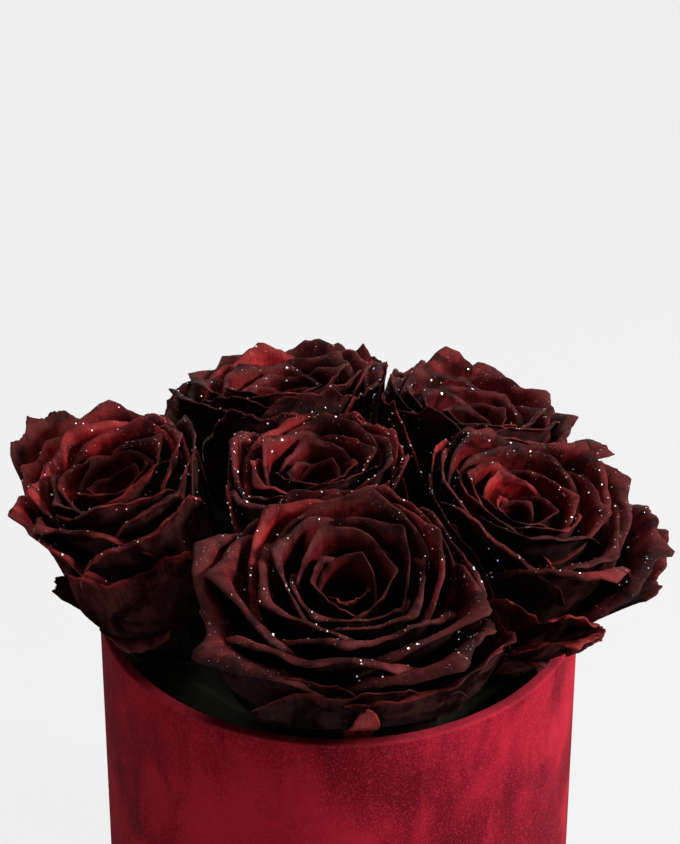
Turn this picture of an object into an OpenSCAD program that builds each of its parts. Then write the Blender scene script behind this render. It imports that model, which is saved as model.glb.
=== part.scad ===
// Round flower box: a suede covered board box filled with dry foam, six open
// preserved rose heads on stems and a ring of leaves.
// Millimetres, +Z up, origin at the centre of the underside. -Y is the front.

/* [Box] */
// Outside diameter of the covered box
box_d = 150; // [140:1:165]
// Height of the box from the table to the rim
box_h = 150; // [110:1:200]
// Thickness of the greyboard wall
board_t = 2.4; // [1.6:0.1:3]
// Thickness of the suede cover
suede_t = 0.8; // [0.5:0.1:1.2]
// How far the suede is turned in over the rim
rim_turn_in = 18; // [8:1:30]
// How far the suede is turned under the wall at the foot
foot_turn_in = 12; // [6:1:20]
// Width of the butt joint in the suede at the back
seam_w = 0.4; // [0.2:0.1:1]
// Thickness of the paper lining
lining_t = 0.4; // [0.3:0.1:0.8]
// Thickness of the base board
base_t = 2.4; // [1.6:0.1:4]
// Thickness of the cover under the base
base_cover_t = 0.8; // [0.5:0.1:1.5]
// Margin between the base cover and the outside of the box
base_cover_margin = 4; // [2:0.5:8]

/* [Foam] */
// Depth of the foam's top below the rim
foam_drop = 30; // [22:1:40]
// Gap between the foam and the lining
foam_gap = 0.5; // [0.2:0.1:2]

/* [Rose parts] */
// Height of a full rose head from its base to its lip
head_h = 50; // [44:1:56]
// Thickness of a petal
petal_t = 0.5; // [0.4:0.1:0.8]
// Diameter of a stem
stem_d = 5; // [4:0.5:6]
// Length of stem inside the foam
stem_grip = 40; // [25:1:60]
// Length of the hip under a head
hip_h = 9; // [7:0.5:12]
// Diameter of the round top of the hip, where the petals leave it
hip_d = 14; // [12:0.5:16]

/* [Front rose] */
// Distance of the front rose's base from the outside of the box
front_inset = 29; // [27:0.5:31]
// Spread of the front rose, from its axis to its lip
front_spread = 50; // [46:0.5:52]

/* [Right rose] */
// Distance of the right rose's base from the outside of the box
right_inset = 29; // [27:0.5:31]
// Spread of the right rose, from its axis to its lip
right_spread = 47; // [43:0.5:49]

/* [Back right rose] */
// Distance of the back right rose's base from the outside of the box
back_right_inset = 32; // [30:0.5:34]
// Spread of the back right rose, from its axis to its lip
back_right_spread = 44; // [40:0.5:46]

/* [Back left rose] */
// Distance of the back left rose's base from the outside of the box
back_left_inset = 33; // [31:0.5:35]
// Spread of the back left rose, from its axis to its lip
back_left_spread = 44; // [40:0.5:46]

/* [Left rose] */
// Distance of the left rose's base from the outside of the box
left_inset = 20; // [18:0.5:22]
// Spread of the left rose, from its axis to its lip
left_spread = 42; // [38:0.5:44]

/* [Centre rose] */
// Distance of the centre rose's base from the box axis
centre_out = 6; // [4:0.5:8]
// Spread of the centre rose, from its axis to its lip
centre_spread = 41; // [37:0.5:43]

/* [Leaves] */
// Length of a leaf blade
leaf_l = 58; // [48:1:66]
// Width of a leaf blade
leaf_w = 30; // [24:1:36]
// Thickness of a leaf
leaf_t = 0.5; // [0.4:0.1:0.8]
// Distance of the leaves' middles from the outside of the box
leaf_inset = 22; // [21:0.5:25]
// Depth of the leaves below the rim
leaf_drop = 9; // [8:0.5:14]
// Inward tilt of the leaves
leaf_tilt = 14; // [5:1:20]
// Diameter of a leaf stalk
leaf_stalk_d = 1.8; // [1.4:0.1:2.4]
// Length of leaf stalk inside the foam
leaf_stalk_grip = 15; // [8:1:25]

/* [Hidden] */
$fn = 72;

box_r = box_d / 2;
board_d = box_d - 2 * suede_t;
inner_d = board_d - 2 * board_t;
lining_d = inner_d - 2 * suede_t;
well_d = lining_d - 2 * lining_t;
floor_z = base_cover_t + suede_t + base_t;
foam_top = box_h - foam_drop;
foam_d = well_d - 2 * foam_gap;

// Rose rows: name, base distance, direction, base height over the rim, lean,
// spread, turn of the first petal, share of the reach past the inner petals that
// is kept on the outer side.
// The heads lean out along their direction.
NAME = 0; OUT = 1; WAY = 2; LIFT = 3; LEAN = 4; SPREAD = 5; TURN = 6; FRONT = 7;
ROSES = [
    ["front", box_r - front_inset, -87, 5, 16, front_spread, 20, 0.7],
    ["right", box_r - right_inset, -16, 4, 15, right_spread, 84, 0.92],
    ["back_right", box_r - back_right_inset, 40, 4, 13, back_right_spread, 150, 0.92],
    ["back_left", box_r - back_left_inset, 110, 4, 13, back_left_spread, 10, 0.92],
    ["left", box_r - left_inset, 183, 5, 17, left_spread, 100, 0.76],
    ["centre", centre_out, 212, 7, 2, centre_spread, 60, 1]
];
ROSE_PIECES = ["stem", "hip", "sepals", "heart", "inner_petals", "middle_petals",
    "outer_petals", "guard_petals"];
BOX_NODES = ["board_wall", "base_board", "suede_cover", "lining", "base_cover", "foam", "leaves"];

// Petals of one head, numbered from the middle out
HEART_COUNT = 3;
INNER_COUNT = 4;
MIDDLE_COUNT = 8;
OUTER_COUNT = 9;
PETAL_COUNT = HEART_COUNT + INNER_COUNT + MIDDLE_COUNT + OUTER_COUNT;
petal_step = 137.5;
across_cells = 6;
cell_gap = 0.4;
rim_gap = 1;
hip_r = hip_d / 2;
hip_sink = 1;
leaf_stalk_inset = 4;
leaf_out = box_r - leaf_inset;
LEAF_WAYS = [-129, -51, 12, 75, 146];

// Loose guard petals under each head, for a head of this height: direction about
// the head, lip distance, lip height, slope at the lip, half width in degrees,
// roll turn, roll length, foot distance as a share of the hip, slope at the foot
guard_head_h = 50;
GUARDS = [
    [[-37, 46, 39, 84, 37, 60, 3, 1.02, -20], [37, 47, 38, 82, 36, 70, 4, 1.02, -20]],
    [[18, 54, 30, 22, 23, 30, 8, 1.02, -20], [-60, 40, 14, 30, 20, 60, 5, 1.02, -20],
        [-23, 42, 22, 50, 16, 70, 5, 1.02, -20]],
    [[20, 40, 32, 50, 34, 60, 6, 1.02, -20]],
    [[-58, 46, 40, 84, 18, 90, 7, 1.02, -20], [40, 38, 34, 50, 26, 50, 6, 1.02, -20]],
    [[82, 37, 33, 80, 40, 60, 4, 1.02, -8], [70, 38, 7, 0, 34, 50, 5, 1.06, -35],
        [19, 41, 14, 30, 14, 50, 4, 1.02, -20], [-48, 46, 42, 50, 26, 60, 5, 1.02, -20]],
    [[150, 56, 34, 70, 36, 60, 4, 1.02, -20]]
];

function base_of(rose) = [
    rose[OUT] * cos(rose[WAY]), rose[OUT] * sin(rose[WAY]), box_h + rose[LIFT]
];

// A point in a rose's own frame, carried into the box's frame
function lean_out(rose, p) = let (
    core = 0.32 * rose[SPREAD],
    run = p.x < core ? p.x : core + (p.x - core) * rose[FRONT],
    x = run * cos(rose[LEAN]) + p.z * sin(rose[LEAN]),
    z = p.z * cos(rose[LEAN]) - run * sin(rose[LEAN])
) base_of(rose) + [
    x * cos(rose[WAY]) - p.y * sin(rose[WAY]),
    x * sin(rose[WAY]) + p.y * cos(rose[WAY]),
    z
];

// Past the start of the squeeze, which is a share of its limit, a reach is eased
// towards the limit and never passes it
function ease(reach, limit, share) = let (start = share * limit, room = limit - start)
    reach < start ? reach : limit - room * exp(-(reach - start) / room);

// Where the middle of a head is at a height, in plan
function axis_at(rose, z) = let (
    run = rose[OUT] + max(0, z - box_h - rose[LIFT]) * tan(rose[LEAN])
) [run * cos(rose[WAY]), run * sin(rose[WAY])];

function press_one(p, rose, other) = let (
    own = axis_at(rose, p.z),
    far = axis_at(other, p.z),
    apart = norm(far - own),
    way = (far - own) / apart,
    limit = apart * rose[SPREAD] / (rose[SPREAD] + other[SPREAD]) - cell_gap,
    reach = ([p.x, p.y] - own) * way,
    back = reach - ease(reach, limit, 0.55)
) [p.x - back * way.x, p.y - back * way.y, p.z];

function press_all(p, rose, n = 0) = n == len(ROSES) ? p :
    press_all(ROSES[n][NAME] == rose[NAME] ? p : press_one(p, rose, ROSES[n]), rose, n + 1);

// Below the rim a head stays inside the well, and over it the petals may pass
function inside_rim(p) = let (
    reach = norm([p.x, p.y]),
    limit = well_d / 2 - rim_gap + max(0, p.z - box_h - 2) * 1.6,
    eased = ease(reach, limit, 0.88)
) [p.x * eased / reach, p.y * eased / reach, p.z];

function seat(p, rose) = inside_rim(press_all(lean_out(rose, p), rose));

// Cubic curve through a petal's middle: base point, base slope, lip slope, lip point
function bezier(c, t) = pow(1 - t, 3) * c[0] + 3 * pow(1 - t, 2) * t * c[1]
    + 3 * (1 - t) * t * t * c[2] + pow(t, 3) * c[3];
function bezier_slope(c, t) = 3 * pow(1 - t, 2) * (c[1] - c[0])
    + 6 * (1 - t) * t * (c[2] - c[1]) + 3 * t * t * (c[3] - c[2]);

// Shape of a petal by age, where 0 is the innermost of a head and 1 the oldest:
// lip distance, lip height, lip slope, half width, roll turn, roll length, then
// foot distance, foot slope and the two pulls on the curve between
FOOT = 7; PULL = 9;
function aged(age, spread) = [
    spread * (0.08 + 0.84 * pow(age, 0.9)),
    head_h * (0.8 + 0.66 * age - 0.64 * age * age),
    98 - 42 * age,
    84 - 38 * min(1, 1.4 * age),
    75 + 45 * age,
    head_h * (0.024 + 0.066 * age),
    hip_r * (0.2 + 0.76 * age),
    48 - 56 * age,
    head_h * 0.42 * (0.2 + 1.3 * pow(age, 1.5)),
    head_h * 0.46
];
function guard_shape(row) = let (grow = head_h / guard_head_h) [
    row[1] * grow, row[2] * grow, row[3], row[4], row[5], row[6] * grow,
    hip_r * row[7], row[8], head_h * 0.68, head_h * 0.3
];
function foot_z(r) = sqrt(pow(hip_r + petal_t, 2) - r * r) - hip_sink;
function petal_curve(shape) = let (
    foot = [shape[6], foot_z(shape[6])],
    lip = [shape[0], shape[1]]
) [
    foot,
    foot + shape[8] * [cos(shape[7]), sin(shape[7])],
    lip - shape[9] * [cos(shape[2]), sin(shape[2])],
    lip
];

// Point on the inner face of a petal, across (-1 to 1) and up (0 to 1)
wall_share = 0.86;
function petal_point(rose, shape, turn, across, up) = let (
    c = petal_curve(shape),
    end = 1 - 0.3 * pow(abs(across), 3),
    on_wall = min(1, up / wall_share) * end,
    slope = bezier_slope(c, on_wall),
    wall_turn = atan2(slope.y, slope.x),
    wall = bezier(c, on_wall),
    rolled = max(0, up - wall_share) / (1 - wall_share),
    turned = shape[4] * (0.8 + 0.5 * across * across),
    radius = shape[5] * 180 / (PI * turned),
    lip_turn = wall_turn - rolled * turned,
    tip = 1 + 0.5 * exp(-pow(across / 0.25, 2)),
    arc = radius * tip * [sin(wall_turn) - sin(lip_turn), cos(lip_turn) - cos(wall_turn)],
    flat = wall + (rolled > 0 ? arc : [0, 0]),
    span = shape[3] * (0.44 + 0.56 * sin(90 * min(1, up * 2))),
    way = turn + across * span,
    r = flat.x + across * petal_t * 0.6
) seat([r * cos(way), r * sin(way), flat.y], rose);

// Outward normal of a grid of points, at row j and column i
function normal_at(grid, j, i) = let (
    across = grid[j][min(i + 1, across_cells)] - grid[j][max(i - 1, 0)],
    up = grid[min(j + 1, len(grid) - 1)][i] - grid[max(j - 1, 0)][i],
    out = cross(across, up)
) out / norm(out);

module lofted_petal(rose, shape, turn, rises) {
    row = across_cells + 1;
    top = len(rises) - 1;
    side = row * (top + 1);
    grid = [for (up = rises) [for (i = [0:across_cells])
        petal_point(rose, shape, turn, 2 * i / across_cells - 1, up)]];
    points = [for (depth = [0, petal_t], j = [0:top], i = [0:across_cells])
        grid[j][i] + depth * normal_at(grid, j, i)];
    inside = [for (j = [0:top - 1], i = [0:across_cells - 1]) let (a = j * row + i)
        each [[a, a + 1, a + row + 1], [a, a + row + 1, a + row]]];
    outside = [for (f = inside) [f[2] + side, f[1] + side, f[0] + side]];
    border = concat(
        [for (i = [0:across_cells - 1]) [i + 1, i]],
        [for (j = [0:top - 1]) [j * row, (j + 1) * row]],
        [for (i = [0:across_cells - 1]) [top * row + i, top * row + i + 1]],
        [for (j = [0:top - 1]) [(j + 1) * row + across_cells, j * row + across_cells]]
    );
    edge = [for (e = border) each [[e[0], e[1], e[1] + side], [e[0], e[1] + side, e[0] + side]]];
    polyhedron(points, concat(inside, outside, edge));
}

module in_head(rose) {
    translate(base_of(rose)) rotate([0, rose[LEAN], rose[WAY]]) children();
}

// A ring of the given inside radius, wall and height
module ring(r, wall, h) {
    difference() {
        cylinder(r = r + wall, h = h);
        translate([0, 0, -1]) cylinder(r = r, h = h + 2);
    }
}

module board_wall() {
    color("tan") translate([0, 0, base_cover_t + suede_t])
        ring(inner_d / 2, board_t, box_h - base_cover_t - 2 * suede_t);
}

module base_board() {
    color("tan") translate([0, 0, base_cover_t + suede_t]) cylinder(d = inner_d, h = base_t);
}

// Section of the suede: up the outside, over the rim and in, and under the foot
module suede_section() {
    outer = box_d / 2;
    difference() {
        union() {
            translate([outer - board_t - 2 * suede_t, box_h - rim_turn_in])
                square([board_t + 2 * suede_t, rim_turn_in - suede_t]);
            translate([outer - board_t - suede_t, box_h - suede_t]) square([board_t, suede_t]);
            for (x = [outer - suede_t, outer - board_t - suede_t])
                translate([x, box_h - suede_t]) circle(r = suede_t);
            translate([outer - suede_t, base_cover_t]) square([suede_t, box_h - suede_t - base_cover_t]);
            translate([outer - foot_turn_in, base_cover_t]) square([foot_turn_in, suede_t]);
        }
        translate([inner_d / 2, box_h - rim_turn_in - 1]) square([board_t, rim_turn_in + 1 - suede_t]);
    }
}

module suede_cover() {
    seam_angle = seam_w / (box_d / 2) * 180 / PI;
    color("crimson") rotate([0, 0, 90 + seam_angle / 2])
        rotate_extrude(angle = 360 - seam_angle) suede_section();
}

module lining() {
    top = box_h - rim_turn_in / 2;
    color("black") translate([0, 0, floor_z]) ring(well_d / 2, lining_t, top - floor_z);
}

module base_cover() {
    color("darkred") cylinder(d = box_d - 2 * base_cover_margin, h = base_cover_t);
}

module stem_rod(rose, extra) {
    in_head(rose) translate([0, 0, -hip_h]) mirror([0, 0, 1])
        cylinder(d = stem_d + extra, h = stem_length(rose));
}

function stem_length(rose) = stem_grip
    + (rose[LIFT] + foam_drop - hip_h * cos(rose[LEAN])) / cos(rose[LEAN]);

module foam() {
    color("darkgreen") difference() {
        translate([0, 0, floor_z]) cylinder(d = foam_d, h = foam_top - floor_z);
        for (rose = ROSES) stem_rod(rose, 0.1);
        each_leaf() leaf_stalk(0.1);
    }
}

module rose_stem(rose) {
    color("olive") stem_rod(rose, 0);
}

module rose_hip(rose) {
    color("olive") in_head(rose) {
        translate([0, 0, -hip_h]) cylinder(d1 = stem_d, d2 = hip_d * 0.9, h = hip_h - 1);
        intersection() {
            translate([0, 0, -hip_sink]) sphere(r = hip_r);
            translate([0, 0, hip_r - 1 - hip_r * 0.56 * 2]) cylinder(r = hip_d, h = hip_d);
        }
    }
}

// Five curved strips hugging the hip
module rose_sepals(rose) {
    color("darkolivegreen") in_head(rose)
        for (n = [0:4]) rotate([0, 0, n * 72]) rotate_extrude(angle = 44)
            translate([hip_r + 6.3, -0.6]) difference() {
                circle(r = 6);
                circle(r = 5.4);
                translate([0, -7]) square([7, 14]);
                translate([-7, 0]) square([14, 7]);
            }
}

// Section of a cup petal: one arc from the foot that ends upright, then a lip
// rolled out. Its height is measured down from the start of the roll.
module cup_section(foot, lip, height, roll) {
    belly = (pow(lip - foot, 2) + height * height) / (2 * (lip - foot));
    difference() {
        translate([lip - belly, 0]) intersection() {
            circle(r = belly, $fn = 360);
            translate([0, -height]) square([belly + 1, height]);
        }
        translate([lip - belly, 0]) circle(r = belly - petal_t, $fn = 360);
    }
    translate([lip - petal_t + roll, 0]) difference() {
        circle(r = roll);
        circle(r = roll - petal_t);
        translate([-roll - 1, -roll - 1]) square([2 * roll + 2, roll + 1]);
        translate([0, -roll - 1]) square(2 * roll + 2);
    }
}

module cup_petal(rose, n, roll) {
    shape = aged(n / (PETAL_COUNT - 1), rose[SPREAD]);
    height = shape[1] - foot_z(shape[6]);
    rotate([0, 0, rose[TURN] + n * petal_step - shape[3]])
        translate([0, 0, shape[1]]) rotate_extrude(angle = 2 * shape[3])
            cup_section(shape[6] + petal_t, shape[0], height, roll);
}

module rose_heart(rose) {
    color("maroon") in_head(rose)
        for (n = [0:HEART_COUNT - 1]) cup_petal(rose, n, 1.4);
}

module rose_inner_petals(rose) {
    color("maroon") in_head(rose)
        for (n = [HEART_COUNT:HEART_COUNT + INNER_COUNT - 1]) cup_petal(rose, n, 1.8);
}

module petal_ring(rose, first, count, rises) {
    for (n = [first:first + count - 1])
        lofted_petal(rose, aged(n / (PETAL_COUNT - 1), rose[SPREAD]), rose[TURN] + n * petal_step, rises);
}

module rose_middle_petals(rose) {
    color("darkred") petal_ring(rose, HEART_COUNT + INNER_COUNT, MIDDLE_COUNT, [0, 0.45, 0.86, 1]);
}

module rose_outer_petals(rose) {
    color("darkred") petal_ring(rose, PETAL_COUNT - OUTER_COUNT, OUTER_COUNT, [0, 0.3, 0.6, 0.86, 1]);
}

module rose_guard_petals(rose) {
    number = search([rose[NAME]], ROSES)[0];
    color("brown") for (row = GUARDS[number])
        lofted_petal(rose, guard_shape(row), row[0], [0, 0.3, 0.6, 0.86, 1]);
}

// Leaf lying along X, arched across its width, with a stalk down from one end
module leaf() {
    side = (leaf_w * leaf_w / 4 + leaf_l * leaf_l / 4) / leaf_w;
    bend = leaf_l * 0.6;
    rotate([leaf_tilt, 0, 0]) intersection() {
        translate([0, 0, -bend - leaf_t]) rotate([0, 90, 0]) translate([0, 0, -leaf_l]) difference() {
            cylinder(r = bend + leaf_t, h = 2 * leaf_l, $fn = 180);
            translate([0, 0, -1]) cylinder(r = bend, h = 2 * leaf_l + 2, $fn = 180);
        }
        translate([0, 0, -leaf_w]) linear_extrude(leaf_w + 1) intersection() {
            translate([0, side - leaf_w / 2]) circle(r = side, $fn = 180);
            translate([0, leaf_w / 2 - side]) circle(r = side, $fn = 180);
        }
    }
    leaf_stalk(0);
}

module leaf_stalk(extra) {
    translate([leaf_stalk_inset - leaf_l / 2, 0, -leaf_t / 2]) mirror([0, 0, 1])
        cylinder(d = leaf_stalk_d + extra, h = foam_drop - leaf_drop + leaf_stalk_grip);
}

module each_leaf() {
    for (way = LEAF_WAYS) rotate([0, 0, way]) translate([leaf_out, 0, box_h - leaf_drop])
        rotate([0, 0, 90]) children();
}

module leaves() {
    color("darkolivegreen") each_leaf() leaf();
}

module rose_piece(rose, piece) {
    if (piece == "stem") rose_stem(rose);
    if (piece == "hip") rose_hip(rose);
    if (piece == "sepals") rose_sepals(rose);
    if (piece == "heart") rose_heart(rose);
    if (piece == "inner_petals") rose_inner_petals(rose);
    if (piece == "middle_petals") rose_middle_petals(rose);
    if (piece == "outer_petals") rose_outer_petals(rose);
    if (piece == "guard_petals") rose_guard_petals(rose);
}

board_wall();
base_board();
suede_cover();
lining();
base_cover();
foam();
leaves();
for (rose = ROSES, piece = ROSE_PIECES)
    rose_piece(rose, piece);
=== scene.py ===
import math

import bmesh
import bpy
import numpy as np
from mathutils import Matrix, Vector


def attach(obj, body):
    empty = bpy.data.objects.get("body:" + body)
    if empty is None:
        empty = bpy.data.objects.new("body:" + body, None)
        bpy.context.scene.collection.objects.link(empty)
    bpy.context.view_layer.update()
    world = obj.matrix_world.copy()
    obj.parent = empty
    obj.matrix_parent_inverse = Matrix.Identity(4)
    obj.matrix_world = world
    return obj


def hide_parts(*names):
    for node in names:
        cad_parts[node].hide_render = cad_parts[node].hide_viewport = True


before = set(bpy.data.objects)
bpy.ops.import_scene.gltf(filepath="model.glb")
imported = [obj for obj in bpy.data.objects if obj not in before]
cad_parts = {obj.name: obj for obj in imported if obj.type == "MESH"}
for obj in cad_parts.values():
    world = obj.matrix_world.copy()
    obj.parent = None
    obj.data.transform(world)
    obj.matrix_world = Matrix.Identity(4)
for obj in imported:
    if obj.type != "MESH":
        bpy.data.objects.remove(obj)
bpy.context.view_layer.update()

# ---------------------------------------------------------------- Camera and lamps
# A long lens looks down on the flowers from above the front edge. A soft lamp
# stands high on the right and another overhead. A faint one, low at the front
# left, is the light that a pale table throws back.
AIM = Vector((0, 0, 0.15))  # the lamps point at the middle of the rim

camera = bpy.data.objects.new("camera", bpy.data.cameras.new("camera"))
bpy.context.scene.collection.objects.link(camera)
bpy.context.scene.camera = camera
camera.location = (0, -0.7496, 0.6566)
camera.rotation_euler = [math.radians(angle) for angle in (59.527, -0.082, 0.031)]
camera.data.lens = 122.5
camera.data.clip_start = 0.01
bpy.context.scene.view_settings.view_transform = "Standard"

for name, place, size, power in (
    ("key_lamp", (0.82, -0.20, 0.62), 0.24, 15.0),
    ("left_lamp", (-0.55, -0.80, 0.22), 0.5, 1.3),
    ("top_lamp", (0.05, 0.20, 1.15), 0.35, 4.5),
):
    lamp = bpy.data.objects.new(name, bpy.data.lights.new(name, "AREA"))
    lamp.data.shape = "DISK"
    lamp.data.size = size
    lamp.data.energy = power
    lamp.location = place
    lamp.rotation_euler = (AIM - lamp.location).to_track_quat("-Z", "Y").to_euler()
    bpy.context.scene.collection.objects.link(lamp)


# ---------------------------------------------------------------- Floor and backdrop
# A plain pale table top that keeps the box's shadow, and the same pale tone
# all round. The box and its flowers are lit by a much weaker grey.
PALE = (0.893, 0.893, 0.893)
WEAK_GREY = (0.08, 0.08, 0.08)
TABLE_GREY = (0.7, 0.7, 0.7)
TABLE_GLOW = 0.93  # the rest keeps the shadow
TABLE_HALF = 30


class Signal:
    """What comes out of a node. A sum written on it adds the Math nodes."""

    def __init__(self, finish, socket):
        self.finish, self.socket = finish, socket

    def sum(self, operation, first, second):
        return self.finish.node("Math", {"operation": operation}, {0: first, 1: second})

    def __add__(self, other):
        return self.sum("ADD", self, other)

    def __radd__(self, other):
        return self.sum("ADD", other, self)

    def __sub__(self, other):
        return self.sum("SUBTRACT", self, other)

    def __rsub__(self, other):
        return self.sum("SUBTRACT", other, self)

    def __mul__(self, other):
        return self.sum("MULTIPLY", self, other)

    def __rmul__(self, other):
        return self.sum("MULTIPLY", other, self)


class Finish:
    """A material while its nodes are laid out, or the world."""

    def __init__(self, owner):
        self.owner = owner
        owner.use_nodes = True
        self.tree = owner.node_tree
        self.surface = self.tree.nodes.get("Principled BSDF") or self.tree.nodes.get("Background")
        self.output = next(n for n in self.tree.nodes if n.type.startswith("OUTPUT"))

    def node(self, kind, settings=None, sockets=None, output=0):
        made = self.tree.nodes.new("ShaderNode" + kind)
        for key, value in (settings or {}).items():
            if key == "stops":
                while len(made.color_ramp.elements) < len(value):
                    made.color_ramp.elements.new(1.0)
                for stop, (place, colour) in zip(made.color_ramp.elements, value):
                    stop.position, stop.color = place, (*colour, 1)
            else:
                setattr(made, key, value)
        self.feed(made, sockets or {})
        return Signal(self, made.outputs[output])

    def feed(self, made, sockets):
        for key, value in sockets.items():
            if isinstance(value, Signal):
                self.tree.links.new(value.socket, made.inputs[key])
            elif isinstance(value, tuple) and made.inputs[key].type == "RGBA":
                made.inputs[key].default_value = (*value, 1)
            else:
                made.inputs[key].default_value = value

    def mix(self, share, low, high, blend="MIX"):
        return self.node("Mix", {"data_type": "RGBA", "blend_type": blend}, {0: share, 6: low, 7: high}, 2)

    def step(self, value, low, high):
        return self.node("MapRange", {"interpolation_type": "SMOOTHSTEP"}, {0: value, 1: low, 2: high})

    def noise(self, place, scale, detail=2.0, roughness=0.5, distortion=0.0):
        return self.node("TexNoise", {}, {"Vector": place, "Scale": scale, "Detail": detail,
                                          "Roughness": roughness, "Distortion": distortion})

    def bump(self, height, strength, distance):
        return self.node("Bump", {}, {"Height": height, "Strength": strength, "Distance": distance})


def in_view(finish):
    """1 for the camera's rays and those that gloss and glass send on, 0 for light."""
    camera_ray, glossy_ray, glass_ray = (
        finish.node("LightPath", output=f"Is {kind} Ray") for kind in ("Camera", "Glossy", "Transmission"))
    return camera_ray + glossy_ray + glass_ray


world = Finish(bpy.data.worlds.new("world"))
bpy.context.scene.world = world.owner
world.feed(world.surface, {"Color": world.mix(in_view(world), WEAK_GREY, PALE), "Strength": 1.0})

table_top = Finish(bpy.data.materials.new("table_top"))
table_top.feed(table_top.surface, {"Base Color": TABLE_GREY, "Roughness": 0.9})
matt = Signal(table_top, table_top.surface.outputs[0])
glow = table_top.node("Emission", {}, {"Color": PALE, "Strength": 1.0})
shown = table_top.node("MixShader", {}, {0: in_view(table_top) * TABLE_GLOW, 1: matt, 2: glow})
table_top.feed(table_top.output, {"Surface": shown})

bm = bmesh.new()
bmesh.ops.create_grid(bm, x_segments=1, y_segments=1, size=TABLE_HALF)
floor = bpy.data.objects.new("floor", bpy.data.meshes.new("floor"))
bm.to_mesh(floor.data)
bm.free()
floor.data.materials.append(table_top.owner)
bpy.context.scene.collection.objects.link(floor)

# ---------------------------------------------------------------- Greyboard wall and base
# A tube of rolled greyboard with a disc of the same board in its foot. The
# covers hide both; they keep the CAD shape.
def dress(finish, *nodes):
    """Gives its finish to a solid that is shown as it is."""
    for node in nodes:
        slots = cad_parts[node].data.materials
        slots.clear()
        slots.append(finish.owner)


greyboard = Finish(bpy.data.materials.new("greyboard"))
place = greyboard.node("TexCoord", output="Object")
fibre = greyboard.noise(place, 900, 4, 0.6)
greyboard.feed(greyboard.surface, {
    "Base Color": greyboard.mix(greyboard.step(fibre, 0.35, 0.7), (0.30, 0.27, 0.23), (0.44, 0.40, 0.34)),
    "Roughness": 0.92,
    "Normal": greyboard.bump(fibre, 0.3, 0.0002)})
dress(greyboard, "board_wall", "base_board")

# ---------------------------------------------------------------- Suede cover
# One band of crimson microsuede glued round the wall, turned in over the rim
# and under the foot, its two ends meeting in a butt seam at the back.
BOX_R, BOX_H = 0.075, 0.150
BOARD_T, SUEDE_T = 0.0024, 0.0008
RIM_TURN_IN, FOOT_TURN_IN, BASE_COVER_T = 0.018, 0.012, 0.0008
SEAM_W = 0.0004
EDGE_R, STRAIGHT = 0.0009, 0.003  # how round the turned edges are, and where the wall is straight again
BAND_T = 0.0006  # thinner than the suede, so that the band stays clear of the board
CRIMSON_DEEP, CRIMSON = (0.100, 0.0016, 0.0062), (0.325, 0.0085, 0.022)
# The second of these is a painted highlight for the rim's top edge.
CRIMSON_SPECK, CRIMSON_PAINTED_HIGHLIGHT = (0.44, 0.024, 0.045), (0.50, 0.045, 0.07)


def arc(centre_r, centre_z, radius, first, last, steps):
    """Points round a corner of the box's section."""
    for n in range(steps + 1):
        angle = math.radians(first + (last - first) * n / steps)
        yield Vector((centre_r + radius * math.cos(angle), 0, centre_z + radius * math.sin(angle)))


def link(name, bm, *finishes):
    """Makes the mesh an object that rides on the box."""
    mesh = bpy.data.meshes.new(name)
    bm.to_mesh(mesh)
    bm.free()
    for finish in finishes:
        mesh.materials.append(finish.owner)
    piece = bpy.data.objects.new(name, mesh)
    bpy.context.scene.collection.objects.link(piece)
    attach(piece, "root")
    return piece


def thicken(piece, thickness, offset=0, back_slot=0):
    """Gives an open sheet its thickness, and its back the finish in back_slot."""
    sheet = piece.modifiers.new("thickness", "SOLIDIFY")
    sheet.thickness, sheet.offset, sheet.material_offset = thickness, offset, back_slot


suede = Finish(bpy.data.materials.new("suede"))
place = suede.node("TexCoord", output="Object")
height = suede.node("SeparateXYZ", {}, {0: place}, output="Z")
brushed = suede.noise(place, 17, 2, 0.5, 0.5)
strokes = suede.noise(suede.node("Mapping", {}, {"Vector": place, "Scale": (1, 1, 0.55)}), 70, 3, 0.6, 0.7)
grains = suede.noise(place, 1500, 2, 0.6)
fibre = suede.noise(place, 3200, 2, 0.7)
nap = suede.step(brushed * 0.54 + strokes * 0.32 + grains * 0.14, 0.40, 0.62)
body = suede.mix(nap, CRIMSON_DEEP, CRIMSON)
specks = suede.step(grains, 0.50, 0.72) * 0.42
# A thin lighter band along the top of the rim is a painted highlight, where the light catches the rounded
# edge.
painted_rim_highlight = suede.step(height, BOX_H - 0.0012, BOX_H - 0.0003) * 0.20
suede.feed(suede.surface, {
    "Base Color": suede.mix(painted_rim_highlight, suede.mix(specks, body, CRIMSON_SPECK), CRIMSON_PAINTED_HIGHLIGHT),
    "Roughness": 0.95,
    "Sheen Weight": 0.06,
    "Sheen Roughness": 0.45,
    "Sheen Tint": (1.0, 0.25, 0.35),
    "Specular IOR Level": 0.05,
    "Normal": suede.bump(grains * 0.6 + fibre * 0.4, 0.6, 0.0004)})

inner_r = BOX_R - BOARD_T - 2 * SUEDE_T
section = [Vector((inner_r, 0, BOX_H - RIM_TURN_IN))]
section += arc(inner_r + EDGE_R, BOX_H - EDGE_R, EDGE_R, 180, 90, 5)
section += arc(BOX_R - EDGE_R, BOX_H - EDGE_R, EDGE_R, 90, 0, 5)
section += [Vector((BOX_R, 0, z)) for z in np.linspace(BOX_H - STRAIGHT, BASE_COVER_T + STRAIGHT, 40)]
section += arc(BOX_R - EDGE_R, BASE_COVER_T + EDGE_R, EDGE_R, 0, -90, 5)
section += [Vector((BOX_R - FOOT_TURN_IN, 0, BASE_COVER_T))]
bm = bmesh.new()
points = [bm.verts.new(p) for p in section]
for pair in zip(points, points[1:]):
    bm.edges.new(pair)
seam = SEAM_W / BOX_R
bmesh.ops.rotate(bm, verts=bm.verts, cent=(0, 0, 0), matrix=Matrix.Rotation(math.pi / 2 + seam / 2, 3, "Z"))
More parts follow.
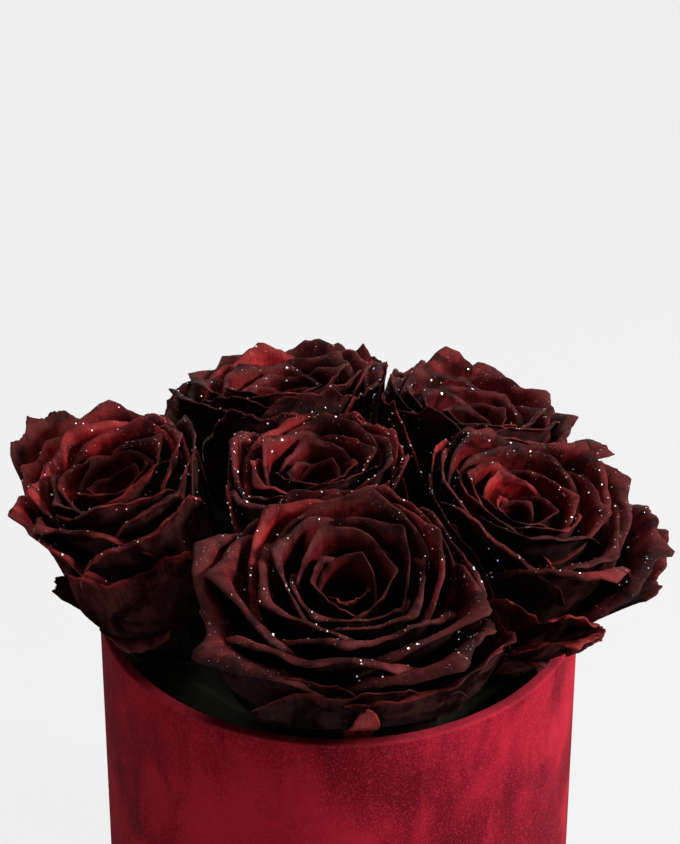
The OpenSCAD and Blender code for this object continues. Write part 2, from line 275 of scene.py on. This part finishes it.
bmesh.ops.spin(bm, geom=bm.verts[:] + bm.edges[:], cent=(0, 0, 0), axis=(0, 0, 1), dvec=(0, 0, 0),
               angle=2 * math.pi - seam, steps=240, use_merge=False, use_duplicate=False)
bmesh.ops.recalc_face_normals(bm, faces=bm.faces)
for face in bm.faces:
    face.smooth = True
suede_band = link("suede_band", bm, suede)
thicken(suede_band, BAND_T, offset=-1)
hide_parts("suede_cover")

# ---------------------------------------------------------------- Lining and base cover
# Black paper pasted inside the wall, and a disc of the same suede that hides
# the turned-in edge under the box.
black_paper = Finish(bpy.data.materials.new("black_paper"))
place = black_paper.node("TexCoord", output="Object")
grain = black_paper.noise(place, 1500, 3, 0.6)
black_paper.feed(black_paper.surface, {
    "Base Color": black_paper.mix(grain, (0.008, 0.007, 0.007), (0.02, 0.018, 0.018)),
    "Roughness": 0.8,
    "Normal": black_paper.bump(grain, 0.25, 0.0002)})
dress(black_paper, "lining")
dress(suede, "base_cover")

# ---------------------------------------------------------------- Dry foam
# A block of dark green floral foam, cut to the box. It crumbles to a dusty,
# pitted face where it is cut.
foam = Finish(bpy.data.materials.new("dry_foam"))
place = foam.node("TexCoord", output="Object")
cells = foam.node("TexVoronoi", {"feature": "F1"}, {"Vector": place, "Scale": 1400})
dust = foam.noise(place, 180, 4, 0.6)
foam.feed(foam.surface, {
    "Base Color": foam.mix(dust, (0.008, 0.012, 0.006), (0.025, 0.034, 0.015)),
    "Roughness": 0.95,
    "Normal": foam.bump(cells, 0.8, 0.0004)})
dress(foam, "foam")

# ---------------------------------------------------------------- Stems, hips and sepals
# Dried green stems pushed into the foam, each with the swelling and the five
# narrow strips under its head.
stalk = Finish(bpy.data.materials.new("stalk"))
place = stalk.node("TexCoord", output="Object")
ribs = stalk.noise(stalk.node("Mapping", {}, {"Vector": place, "Scale": (1, 1, 0.1)}), 700, 3, 0.6)
stalk.feed(stalk.surface, {
    "Base Color": stalk.mix(ribs, (0.022, 0.028, 0.010), (0.07, 0.075, 0.03)),
    "Roughness": 0.65,
    "Normal": stalk.bump(ribs, 0.4, 0.0003)})
dress(stalk, *(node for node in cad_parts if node.endswith(("_stem", "_hip", "_sepals"))))

# ---------------------------------------------------------------- Leaves
# Five preserved rose leaves tucked round the heads, each on a stalk in the
# foam: an arched blade with a raised midrib, side veins and a toothed edge.
LEAF_L, LEAF_W, LEAF_T = 0.058, 0.030, 0.0005
LEAF_OUT, LEAF_DROP, LEAF_TILT = 0.053, 0.009, 14
LEAF_STALK, LEAF_STALK_D, LEAF_FOOT = 0.036, 0.0018, -0.30  # the last is a share of the blade
LEAF_WAYS = (-129, -51, 12, 75, 146)

leaf_green = Finish(bpy.data.materials.new("leaf_green"))
place = leaf_green.node("TexCoord", output="Object")
veins = leaf_green.node("Attribute", {"attribute_name": "vein"}, output="Fac")
mottle = leaf_green.noise(place, 90, 4, 0.6)
cells = leaf_green.node("TexVoronoi", {"feature": "DISTANCE_TO_EDGE"}, {"Vector": place, "Scale": 700})
green = leaf_green.mix(mottle, (0.0035, 0.0038, 0.0012), (0.0095, 0.0090, 0.0026))
leaf_green.feed(leaf_green.surface, {
    "Base Color": leaf_green.mix(veins * 0.5, green, (0.030, 0.026, 0.010)),
    "Roughness": leaf_green.step(mottle, 0.0, 1.0) * 0.25 + 0.5,
    "Specular IOR Level": 0.06,
    "Normal": leaf_green.bump(leaf_green.step(cells, 0.0, 0.12) * 0.3 + mottle, 0.35, 0.0004)})

bm = bmesh.new()
vein = bm.verts.layers.float.new("vein")
for number, way in enumerate(LEAF_WAYS):
    blade = bmesh.ops.create_grid(bm, x_segments=56, y_segments=20, size=1)["verts"]
    for v in blade:
        s, t = v.co.x, v.co.y  # along the blade and across it, from -1 to 1
        full = max(0.0, 1 - s * s) ** 0.75 * (1 - 0.18 * s)  # its outline
        tooth = 1 + 0.05 * abs((s * 13) % 1 - 0.5) * abs(t) ** 6
        half = LEAF_W / 2 * full * tooth
        rib = math.exp(-(t * full / 0.06) ** 2)  # the midrib, then the side veins
        side = abs(((s * 5.5 + abs(t) * 1.1) % 1) - 0.5) * 2
        side = max(0.0, side - 0.86) / 0.14 * (1 - rib) * full
        v[vein] = max(rib, 0.7 * side)
        x, y = LEAF_L / 2 * s, half * t  # arched and a little wavy
        z = -LEAF_W * 0.35 * (t * full) ** 2 * (0.75 + 0.1 * math.sin(4 * s + number)) \
            - 0.0016 * math.sin(3 * s + number) - 0.0006 * side - 0.0011 * rib \
            + 0.0008 * math.sin(9 * s + 3 * number) * abs(t) ** 3
        v.co = (x, y, z)
    rod = bmesh.ops.create_cone(bm, cap_ends=True, segments=10, radius1=LEAF_STALK_D / 2,
                                radius2=LEAF_STALK_D / 2, depth=LEAF_STALK)["verts"]
    bmesh.ops.translate(bm, verts=rod, vec=(LEAF_L * LEAF_FOOT, 0, -LEAF_STALK / 2 - 0.001))
    turn = (Matrix.Rotation(math.radians(way), 4, "Z")
            @ Matrix.Translation((LEAF_OUT, 0, BOX_H - LEAF_DROP)) @ Matrix.Rotation(math.pi / 2, 4, "Z"))
    bmesh.ops.transform(bm, matrix=turn @ Matrix.Rotation(math.radians(LEAF_TILT), 4, "X"), verts=blade)
    bmesh.ops.transform(bm, matrix=turn, verts=rod)
bmesh.ops.recalc_face_normals(bm, faces=bm.faces)
for face in bm.faces:
    face.smooth = True
leaf_blades = link("leaf_blades", bm, leaf_green)
thicken(leaf_blades, LEAF_T)
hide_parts("leaves")

# ---------------------------------------------------------------- Petals
# Each preserved rose is two dozen petals set round a hip in a spiral, with a
# few larger ones outside. Every petal rises from the hip and rolls outwards at
# its lip. The heads press flat against each other and against the rim.
RIM_Z, WELL_R = 150.0, 70.4  # lengths are in millimetres here, until the mesh is made
HIP_R, HEAD_H, PETAL_T = 7.0, 50.0, 0.4
PETALS, SPIRAL, WALL = 24, 137.5, 0.80  # the last is where the lip begins to roll
HEAD_GAP, HEAD_PRESS = 0.4, 0.55  # between two heads, and the share of its room from which one is pressed
RIM_GAP, RIM_PRESS, RIM_FLARE = 1, 0.88, 1.6
CORE = 0.32  # the share of a head that keeps its shape where its face is flattened
ROSES = {  # out, way, lift, lean, spread, turn, and the share that is left of its flattened face
    "front": (46, -87, 5, 16, 50, 20, 0.70),
    "right": (46, -16, 4, 15, 47, 84, 0.92),
    "back_right": (43, 40, 4, 13, 44, 150, 0.92),
    "back_left": (42, 110, 4, 13, 44, 10, 0.92),
    "left": (55, 183, 5, 17, 42, 100, 0.76),
    "centre": (6, 212, 7, 2, 41, 60, 1.0),
}
NODS = {  # how far the eye faces the leaning side, the far side sinks, the near side rises and draws in
    "front": (0.42, 0.13, 0, 0), "right": (0.12, 0, 0.03, 0), "back_right": (0.08, 0, 0, 0),
    "back_left": (0.08, 0, 0, 0.04), "left": (0.10, 0, 0.16, 0.14), "centre": (0.16, 0, 0, 0),
}
DULLED = {  # more is darker
    "front": 8, "right": 1.5, "back_right": 4, "back_left": 5, "left": 1, "centre": 1.5,
}


def aged(age, spread):
    """The shape of a petal of the spiral, from age 0 at the eye to 1 at the outside."""
    return (
        spread * (0.10 + 0.82 * age ** 0.85),  # lip: radius
        HEAD_H * (0.80 + 0.62 * age - 0.60 * age * age),  # height
        100 - 44 * age,  # and slope
        110 - 58 * min(1, 1.2 * age),  # half the width, in degrees
        80 + 40 * age,  # roll: turn
        1.6 + 4.8 * age,  # and length
        HIP_R * (0.2 + 0.76 * age),  # foot: radius
        48 - 56 * age,  # and slope
        HEAD_H * 0.42 * (0.2 + 1.3 * age ** 1.5),  # legs of the curve: at the foot
        HEAD_H * 0.46,  # and at the lip
        0.10 + 0.22 * age)  # droop of the lip at its sides


def spiral_petal(number, rose, n):
    """Shape, direction, age and seed of petal n of a head."""
    age = n / (PETALS - 1)
    return aged(age, rose[4]), rose[5] + n * SPIRAL, age, 1000 * number + 20 * n


def single_petal(seed, way, lip_r, lip_z, lip_slope, half, turned, roll, foot, foot_slope,
                 droop=0.14, leg=0.68):
    """The same of a petal outside the spiral."""
    return ((lip_r, lip_z, lip_slope, half, turned, roll, HIP_R * foot, foot_slope,
             HEAD_H * leg, HEAD_H * 0.3, droop), way, 1.0, seed)


def ray(angle):
    return np.stack([np.cos(np.radians(angle)), np.sin(np.radians(angle))], -1)


def jagged(seed, at, corners):
    """Random heights from -1 to 1 joined by straight lines across a petal."""
    heights = np.random.default_rng(seed).uniform(-1, 1, corners + 1)
    return np.interp(at, np.linspace(-1, 1, corners + 1), heights)


def crumple(seed, x, y):
    """Soft uneven waves from -1 to 1."""
    pick = np.random.default_rng(seed)
    waves = [np.sin(k * (x * np.cos(t) + y * np.sin(t)) + p) / 4
             for k, t, p in zip((3, 5, 8, 13), pick.uniform(0, 3.1, 4), pick.uniform(0, 6.3, 4))]
    return sum(waves)


def ease(reach, limit, share):
    """Slows a reach down from a share of its limit on, so that it never passes it."""
    start = limit * share
    room = limit - start
    return np.where(reach < start, reach, limit - room * np.exp(-np.maximum(0, reach - start) / room))


def axis_at(rose, z):
    """Where a leaning head's axis is at each height."""
    out, way, lift, lean = rose[:4]
    return (out + np.maximum(0, z - RIM_Z - lift) * math.tan(math.radians(lean)))[..., None] * ray(way)


def seat(name, p):
    """Leans a head out, and presses it against its neighbours and the rim."""
    out, way, lift, lean, spread, _, front = rose = ROSES[name]
    core = CORE * spread
    x = np.where(p[..., 0] < core, p[..., 0], core + (p[..., 0] - core) * front)
    lean = math.radians(lean)
    x, z = x * math.cos(lean) + p[..., 2] * math.sin(lean), p[..., 2] * math.cos(lean) - x * math.sin(lean)
    flat = (out + x)[..., None] * ray(way) + p[..., 1][..., None] * ray(way + 90)
    z = RIM_Z + lift + z
    for other, far in ROSES.items():
        if other != name:
            gap = axis_at(far, z) - axis_at(rose, z)
            apart = np.linalg.norm(gap, axis=-1)
            gap /= apart[..., None]
            reach = ((flat - axis_at(rose, z)) * gap).sum(-1)
            limit = apart * spread / (spread + far[4]) - HEAD_GAP
            flat -= (reach - ease(reach, limit, HEAD_PRESS))[..., None] * gap
    reach = np.linalg.norm(flat, axis=-1)
    limit = WELL_R - RIM_GAP + np.maximum(0, z - (RIM_Z + 2)) * RIM_FLARE
    flat *= (ease(reach, limit, RIM_PRESS) / reach)[..., None]
    return np.concatenate([flat, z[..., None]], -1)


def petal_points(name, shape, way, age, seed, across, up):
    """Where points of a petal lie: across is -1 to 1, and up is 0 at the foot and 1 at the lip."""
    lip_r, lip_z, lip_slope, half, turned, roll, foot_r, foot_slope, low_leg, high_leg, droop = shape
    pick = np.random.default_rng(seed)
    loose = (0.2 + 1.1 * age) * min(1, half / 32)  # old, wide petals vary most
    lip_r *= 1 + 0.05 * loose * pick.uniform(-1, 1)
    lip_z += 1.6 * loose * pick.uniform(-1, 1)
    way = way + 7 * pick.uniform(-1, 1)
    # The wall rises from the hip on one curve, and the lip's outline is uneven.
    foot = np.array([foot_r, math.sqrt((HIP_R + 0.5) ** 2 - foot_r ** 2) - 1])
    lip = np.array([lip_r, lip_z])
    knots = (foot, foot + low_leg * ray(foot_slope), lip - high_leg * ray(lip_slope), lip)
    point = pick.uniform(-0.25, 0.25)
    corners = np.array([-1.3, -0.82, point, 0.82, 1.3])
    end = 1 - droop * np.abs(across) ** 3 + 0.035 * loose * jagged(seed + 1, across, 6)
    end += 0.012 * loose * jagged(seed + 6, across, 19)
    t = (np.minimum(1, up / WALL) * end)[..., None]
    wall = ((1 - t) ** 3 * knots[0] + 3 * (1 - t) ** 2 * t * knots[1]
            + 3 * (1 - t) * t * t * knots[2] + t ** 3 * knots[3])
    slope = ((1 - t) ** 2 * (knots[1] - knots[0]) + 2 * (1 - t) * t * (knots[2] - knots[1])
             + t * t * (knots[3] - knots[2]))
    rising = np.degrees(np.arctan2(slope[..., 1], slope[..., 0]))
    # The lip rolls outwards on an arc, furthest at the petal's point.
    rolled = np.maximum(0, up - WALL) / (1 - WALL)
    turn = turned * (0.8 + 0.5 * across ** 2) * (1 + 0.30 * jagged(seed + 2, across, 5))
    radius = roll * 180 / (np.pi * turn)
    tip = 1 + 0.7 * np.exp(-(np.abs(across - point) / 0.13) ** 1.5)
    over = rising - rolled * turn
    curl = (radius * tip)[..., None] * np.stack(
        [np.sin(np.radians(rising)) - np.sin(np.radians(over)),
         np.cos(np.radians(over)) - np.cos(np.radians(rising))], -1)
    flat = wall + np.where(rolled[..., None] > 0, curl, 0)
    # In plan it is bent at its corners and nearly flat between them.
    span = half * (0.44 + 0.56 * np.sin(np.pi / 2 * np.minimum(1, up * 2)))
    high = np.clip((up - 0.35) / 0.65, 0, 1) ** 1.5
    edge = np.clip((up - 0.78) / 0.22, 0, 1) ** 2
    side = np.searchsorted(corners, across).clip(1, 4)
    mid, reach = (corners[side] + corners[side - 1]) / 2, (corners[side] - corners[side - 1]) / 2
    chord = np.cos(np.radians(reach * span)) / np.cos(np.radians((across - mid) * span))
    r = (flat[..., 0] + across * 0.3) * (1 + high * (0.35 + 0.55 * age) * (chord - 1 + 0.03))
    # Dents and ripples, and the nod of the whole head to its own side.
    r *= 1 + 0.055 * loose * high * jagged(seed + 3, across, 5)
    waves = (0.5 + 0.9 * age ** 3) * (0.25 * np.minimum(1, up * 3) + 0.75 * high)
    r += waves * crumple(seed + 4, across * 2.2, up * 2.2)
    z = flat[..., 1] + 1.7 * loose * high * jagged(seed + 5, across, 6)
    z += 0.9 * loose * edge * crumple(seed + 7, across * 5, up * 3)
    around = ray(way + across * span)
    eye, sink, rise, draw = NODS[name]
    ahead = r * around[..., 0] * high
    z -= ahead * eye * (1 - age) ** 1.6
    z += age * (sink * np.minimum(0, ahead) + rise * np.maximum(0, ahead))
    r *= 1 - draw * age * high * np.maximum(0, around[..., 0])
    return seat(name, np.concatenate([r[..., None] * around, z[..., None]], -1))


def petal_mesh(name, petals, dulled, across_steps=40, up_steps=26, low=0.0):
    """One mesh of several petals; low is where on the colour's scale their feet are, and that scale paints
    shade towards the foot.
    """
    bm = bmesh.new()
    uv = bm.loops.layers.uv.new("petal")
    shade = bm.verts.layers.float.new("shade")
    for shape, way, age, seed in petals:
        grid = bmesh.ops.create_grid(bm, x_segments=across_steps, y_segments=up_steps, size=1)["verts"]
        at = np.array([v.co[:2] for v in grid])
        up = (at[:, 1] + 1) / 2
        places = petal_points(name, shape, way, age, seed, at[:, 0], up) / 1000
        tone = np.random.default_rng(seed + 9).uniform(0, 1) ** dulled
        mine = {}
        for v, place, (a, _), height in zip(grid, places.tolist(), at.tolist(), up.tolist()):
            v.co = place
            v[shade] = tone
            mine[v] = ((a + 1) / 2, low + (1 - low) * height)
        faces = list({f for v in grid for f in v.link_faces})
        bmesh.ops.reverse_faces(bm, faces=faces)
        for face in faces:
            face.smooth = True
            for loop in face.loops:
                loop[uv].uv = mine[loop.vert]
    return bm


petal_red, petal_back = (Finish(bpy.data.materials.new(n)) for n in ("petal_red", "petal_back"))
# The stops run from near-black at the foot to the lightest red under the lip: painted shade of the deep gaps
# where the petals overlap, on both faces.
for finish, stops, gloss in (
    (petal_red, [(0.00, (0.010, 0.0060, 0.0050)), (0.50, (0.015, 0.0055, 0.0050)),
                 (0.68, (0.046, 0.0062, 0.0060)), (0.80, (0.118, 0.0085, 0.0092)),
                 (0.90, (0.104, 0.018, 0.018)), (1.00, (0.078, 0.015, 0.014))], 0.05),
    (petal_back, [(0.00, (0.006, 0.0040, 0.0036)), (0.50, (0.013, 0.0078, 0.0070)),
                  (0.78, (0.026, 0.0120, 0.0110)), (0.88, (0.06, 0.013, 0.013)),
                  (1.00, (0.10, 0.020, 0.020))], 0.0),
):
    place = finish.node("TexCoord", output="Object")
    sheet = finish.node("UVMap", {"uv_map": "petal"})
    up = finish.node("SeparateXYZ", {}, {0: sheet}, output="Y")
    tone = finish.node("Attribute", {"attribute_name": "shade"}, output="Fac")
    patches = finish.noise(place, 160, 4, 0.6, 0.5)
    streaks = finish.node("Mapping", {}, {"Vector": sheet, "Scale": (46, 3.5, 1)})
    veins = finish.noise(streaks, 1.0, 4, 0.6, 0.4)
    velvet = finish.noise(place, 3200, 2, 0.6)
    # Random patches painted much darker, and some a little lighter: painted shade and light that stand in for
    # the shaded hollows among the petals.
    painted_shade_patches = finish.step(finish.noise(place, 70, 3, 0.6, 0.8), 0.40, 0.56)
    mottle = finish.step(patches * 0.5 + veins * 0.3 + velvet * 0.2, 0.34, 0.60)
    colour = finish.node("ValToRGB", {"stops": stops}, {0: up + (patches - 0.5) * 0.14})
    for share, dark, bright in (
        (painted_shade_patches, (0.30, 0.28, 0.28), (1.25, 1.2, 1.2)),
        (mottle, (0.30, 0.27, 0.29), (1, 1, 1)),
        (tone, (0.70, 0.70, 0.70), (2.3, 1.25, 1.25)),
    ):
        colour = finish.mix(1.0, colour, finish.mix(share, dark, bright), "MULTIPLY")
    finish.feed(finish.surface, {
        "Base Color": colour,
        "Roughness": patches * 0.2 + 0.45,
        "Specular IOR Level": gloss,
        "Normal": finish.bump(veins * 0.6 + velvet * 0.4, 0.8, 0.0004)})

GUARDS = {  # direction, lip radius, height and slope, half width, roll turn and length, foot share and slope
    "front": [(-37, 46, 39, 84, 43, 60, 3, 1.02, -38), (37, 47, 38, 82, 42, 70, 4, 1.02, -38)],
    "right": [(18, 54, 30, 22, 23, 30, 8, 1.02, -20), (-60, 40, 14, 30, 20, 60, 5, 1.02, -20),
              (-23, 42, 22, 50, 16, 70, 5, 1.02, -20)],
    "back_right": [(20, 40, 32, 50, 34, 60, 6, 1.02, -20)],
    "back_left": [(-48, 46, 42, 84, 21, 70, 4, 1.02, -20), (40, 38, 34, 50, 26, 50, 6, 1.02, -20)],
    "left": [(82, 37, 33, 80, 40, 60, 4, 1.02, -8), (70, 38, 7, 0, 34, 50, 5, 1.06, -35),
             (19, 41, 14, 30, 14, 50, 4, 1.02, -20), (-48, 46, 42, 50, 26, 60, 5, 1.02, -20)],
    "centre": [(150, 56, 34, 70, 36, 60, 4, 1.02, -20)],
}
TUCKED = {  # single petals caught between the heads: the same values, the droop and the foot's leg
    "front_tip": [(1, 55, 37, 84, 6, 10, 1, 1.05, -25, 0.5, 1.3)],
    "front": [(1, 49, 36, 86, 37, 60, 3, 1.04, -25, 0.14, 1.2)],
    "back_left": [(-88, 46, 38, 88, 28, 60, 4, 1.02, -20, 0.2, 0.68)],
    "right": [(-124, 43, 40, 92, 24, 40, 1.5, 1.02, -20, 0.14, 0.68),
              (-70, 43, 32, 60, 34, 60, 4, 1.02, -20, 0.2, 0.68),
              (-95, 42, 26, 60, 26, 60, 4, 1.02, -20, 0.2, 0.68),
              (-40, 46, 26, 50, 28, 60, 4, 1.02, -20, 0.2, 0.68)],
}
GROUPS = (("heart", 0, 3), ("inner_petals", 3, 4), ("middle_petals", 7, 8), ("outer_petals", 15, 9))


def petal_piece(name, bm, face=petal_red, back=petal_back):
    piece = link(name, bm, face, back)
    thicken(piece, PETAL_T / 1000, back_slot=1)
    return piece


for number, (name, rose) in enumerate(ROSES.items()):
    for group, first, count in GROUPS:
        petals = [spiral_petal(number, rose, n) for n in range(first, first + count)]
        piece = petal_piece(f"{name}_{group}_curled", petal_mesh(name, petals, DULLED[name]))
        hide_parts(f"{name}_rose_{group}")
    petals = [single_petal(1000 * number + 600 + 20 * n, *row) for n, row in enumerate(GUARDS[name])]
    piece = petal_piece(f"{name}_guard_petals_curled", petal_mesh(name, petals, DULLED[name], 48, 30))
    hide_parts(f"{name}_rose_guard_petals")
for name, rows in TUCKED.items():
    petals = [single_petal(9000 + 20 * n, *row) for n, row in enumerate(rows)]
    if name == "front_tip":  # folded outwards, so that its bright inside shows
        # Its feet start high on the colour's scale, so it carries none of the painted shade at the foot.
        bm = petal_mesh("front", petals, dulled=0, low=0.76)
        piece = petal_piece(f"{name}_tucked", bm, face=petal_back, back=petal_red)
    else:
        piece = petal_piece(f"{name}_tucked", petal_mesh(name, petals, DULLED[name]))

# ---------------------------------------------------------------- Glitter
# Fine flakes of cut film dusted over the open heads: small tilted discs that
# lie on the lips and the upper faces of the petals.
SILVER, PINK, BLUE = (0.95, 0.93, 0.95), (1.0, 0.6, 0.7), (0.35, 0.6, 1.0)
LOW, RANGE, SIDE = 0.62, 0.36, 0.95  # the part of a petal that catches them
LEAST, VARIED, LIFT = 0.05, 0.33, 0.32  # a flake's radius, how much more it may be, and how far it stands off
NUDGE = 0.02  # to the two other points that give the petal's slope under a flake

flake = Finish(bpy.data.materials.new("glitter_flake"))
tint = flake.node("Attribute", {"attribute_name": "tint"})
# The flakes also glow a little on their own: a painted sparkle, since they are no lamps.
flake.feed(flake.surface, {"Base Color": tint, "Roughness": 0.35, "Metallic": 0.3,
                           "Emission Color": tint, "Emission Strength": 0.45})
for number, (name, rose) in enumerate(ROSES.items()):
    pick = np.random.default_rng(77 + number)
    bm = bmesh.new()
    tint = bm.verts.layers.float_color.new("tint")
    for n in range(5, PETALS):
        petal = spiral_petal(number, rose, n)
        count = int(34 + 66 * petal[2])
        across, up = pick.uniform(-SIDE, SIDE, count), LOW + RANGE * pick.uniform(0, 1, count) ** 0.6
        spots = petal_points(name, *petal, np.concatenate([across, across + NUDGE, across]),
                             np.concatenate([up, up, up + NUDGE / 2]))
        for at, side, rise in zip(spots[:count], spots[count:2 * count], spots[2 * count:]):
            face = np.cross(side - at, rise - at)
            face *= math.copysign(1, face[2]) / np.linalg.norm(face)
            radius = (LEAST + VARIED * pick.uniform() ** 10) / 1000  # most are specks
            disc = bmesh.ops.create_circle(bm, cap_ends=True, segments=6, radius=radius)["verts"]
            tilt = Vector(face + pick.normal(0, 0.35, 3)).to_track_quat("Z", "Y").to_matrix().to_4x4()
            bmesh.ops.transform(bm, matrix=Matrix.Translation((at + LIFT * face) / 1000) @ tilt, verts=disc)
            chance = pick.uniform()
            colour = SILVER if chance < 0.72 else PINK if chance < 0.93 else BLUE
            for v in disc:
                v[tint] = (*colour, 1)
    glitter = link(f"{name}_glitter", bm, flake)
